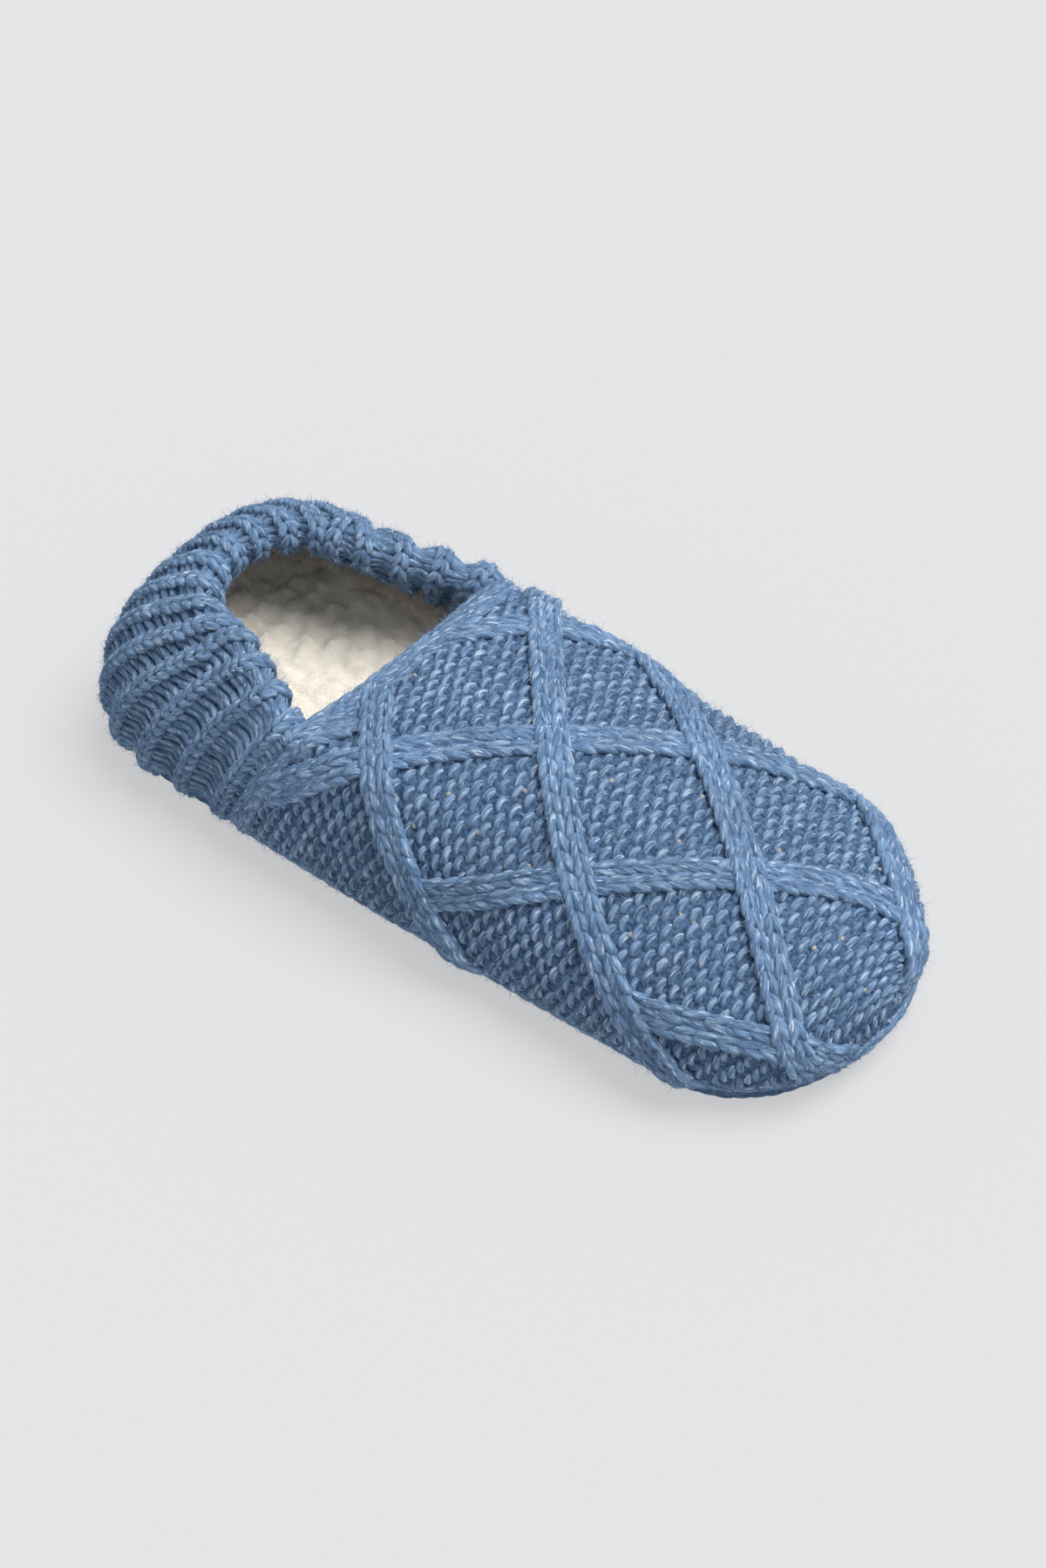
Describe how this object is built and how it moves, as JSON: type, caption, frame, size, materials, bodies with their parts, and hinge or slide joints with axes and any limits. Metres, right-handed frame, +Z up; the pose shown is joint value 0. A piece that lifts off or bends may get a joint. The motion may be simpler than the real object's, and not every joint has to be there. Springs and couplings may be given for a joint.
{
  "type": "slipper sock",
  "caption": "Knitted slipper sock for the right foot, with a raised lattice over the vamp, a ribbed cuff rolled round the heel, a knitted sole and a fleece lining.",
  "frame": {"origin": "on the floor, on the underside of the sole, under the middle of the shoe's length", "axes": "+X to the toe, +Y to the wearer's left, which is the big-toe side of this right shoe, +Z up"},
  "size_m": [0.2569, 0.1087, 0.0614],
  "materials": {
    "lattice_knit": "soft matt knit of mottled blue yarn",
    "rib_knit": "soft matt ribbed knit of mottled blue yarn",
    "sole_knit": "soft matt knit of mottled blue yarn",
    "fleece": "curly cream fleece"
  },
  "bodies": {
    "root": {"upper": "lattice_knit", "heel_cuff": "rib_knit", "outsole": "sole_knit", "insole": "fleece"}
  },
  "joints": []
}
